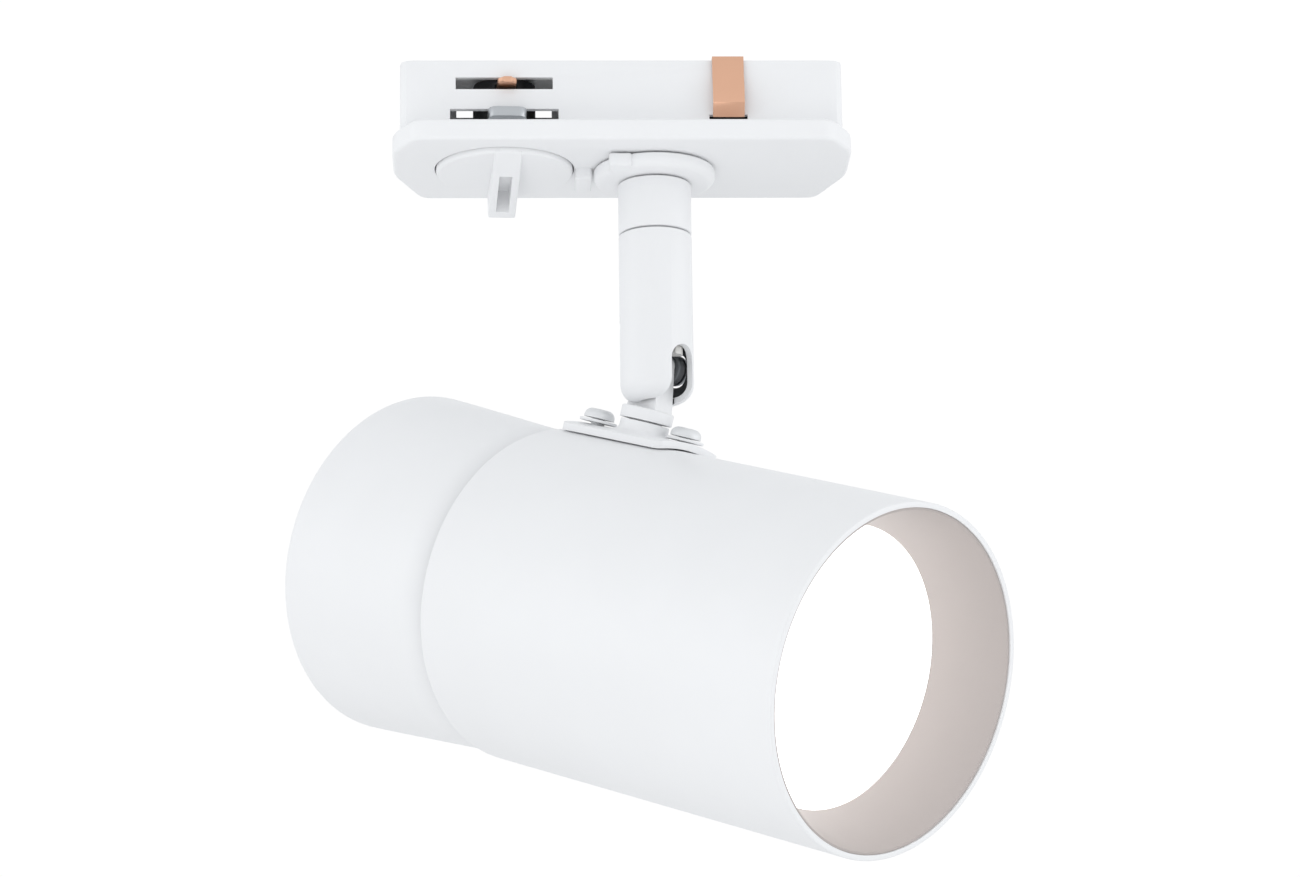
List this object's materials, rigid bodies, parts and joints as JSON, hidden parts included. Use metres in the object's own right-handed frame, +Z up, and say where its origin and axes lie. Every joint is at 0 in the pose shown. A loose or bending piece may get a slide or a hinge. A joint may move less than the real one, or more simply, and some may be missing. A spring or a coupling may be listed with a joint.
{
  "type": "track spotlight",
  "caption": "Cylindrical track spotlight: plug-in track adapter with lock lever, swivelling stem with tilting knuckle, and a tube head with recessed lamp.",
  "frame": {"origin": "on the stem's axis in the plane of the adapter plate's top face, which seats against the track's underside", "axes": "+X along the track towards the end without the lever, +Z up into the track, +Y across the track"},
  "size_m": [0.125, 0.1237, 0.1486],
  "materials": {
    "white_plastic": "moulded, satin white",
    "white_paint": "satin white powder coat",
    "baffle_paint": "matt warm white paint inside the mouth",
    "zinc_steel": "zinc plated",
    "brass": "plain turned brass",
    "contact_copper": "plain copper strip",
    "black_plastic": "moulded black",
    "brown_sleeve": "wire insulation",
    "white_sleeve": "heat-proof wire sleeve",
    "ceramic": "glazed ceramic, modelled as gloss plastic",
    "lamp_housing": "white moulded lamp body",
    "lamp_diffuser": "opal diffuser"
  },
  "bodies": {
    "adapter": {"cover_plate": "white_plastic", "adapter_housing": "white_plastic", "housing_screw_1": "zinc_steel", "housing_screw_2": "zinc_steel", "earth_spring": "contact_copper", "terminal_block": "black_plastic", "terminal_screw_1": "zinc_steel", "terminal_screw_2": "zinc_steel", "stem_lead_1": "brown_sleeve", "stem_lead_2": "brown_sleeve", "contact_lead_1": "brown_sleeve", "contact_lead_2": "brown_sleeve"},
    "lever": {"lever_disc": "white_plastic", "lever_shaft": "white_plastic", "lock_bar": "zinc_steel", "contact_carrier": "black_plastic", "line_contact": "contact_copper", "neutral_contact": "contact_copper"},
    "stem": {"swivel_collar": "white_plastic", "stem_nipple": "brass", "nipple_washer": "zinc_steel", "spring_washer": "zinc_steel", "nipple_nut": "brass", "nipple_locknut": "brass", "upper_tube": "white_paint", "lower_tube": "white_paint", "stem_cable": "white_sleeve", "pivot_screw": "zinc_steel", "pivot_bush": "zinc_steel", "pivot_nut": "zinc_steel"},
    "head": {"knuckle": "white_paint", "friction_washer_1": "zinc_steel", "friction_washer_2": "zinc_steel", "knuckle_nut": "brass", "saddle_plate": "white_paint", "saddle_washer_1": "white_paint", "saddle_washer_2": "white_paint", "saddle_screw_1": "zinc_steel", "saddle_screw_2": "zinc_steel", "front_sleeve": "white_paint", "rear_casing": "white_paint", "bulkhead": "zinc_steel", "casing_screw_1": "zinc_steel", "casing_screw_2": "zinc_steel", "casing_screw_3": "zinc_steel", "holder_bracket": "zinc_steel", "bracket_screw_1": "zinc_steel", "bracket_screw_2": "zinc_steel", "lamp_holder": "ceramic", "holder_screw_1": "zinc_steel", "holder_screw_2": "zinc_steel", "lamp_ring": "zinc_steel", "baffle_cone": "baffle_paint", "head_lead_1": "white_sleeve", "head_lead_2": "white_sleeve"},
    "lamp": {"lamp_body": "lamp_housing", "lamp_lens": "lamp_diffuser", "lamp_pin_1": "brass", "lamp_pin_2": "brass"}
  },
  "joints": [
    {"name": "lever_turn", "type": "hinge", "parent": "adapter", "child": "lever", "pos_m": [-0.0267, 0, 0], "axis": [0, 0, 1], "range_deg": [0, 86.6]},
    {"name": "pan", "type": "hinge", "parent": "adapter", "child": "stem", "pos_m": [0, 0, 0], "axis": [0, 0, 1], "range_deg": [-37, 274]},
    {"name": "tilt", "type": "hinge", "parent": "stem", "child": "head", "pos_m": [0, 0, -0.0403], "axis": [0.6955, 0.7185, 0], "range_deg": [-19.3, 36.5]},
    {"name": "lamp_twist", "type": "hinge", "parent": "head", "child": "lamp", "pos_m": [0, 0, -0.0869], "axis": [0.6781, -0.6564, -0.3305], "range_deg": [0, 20]}
  ]
}
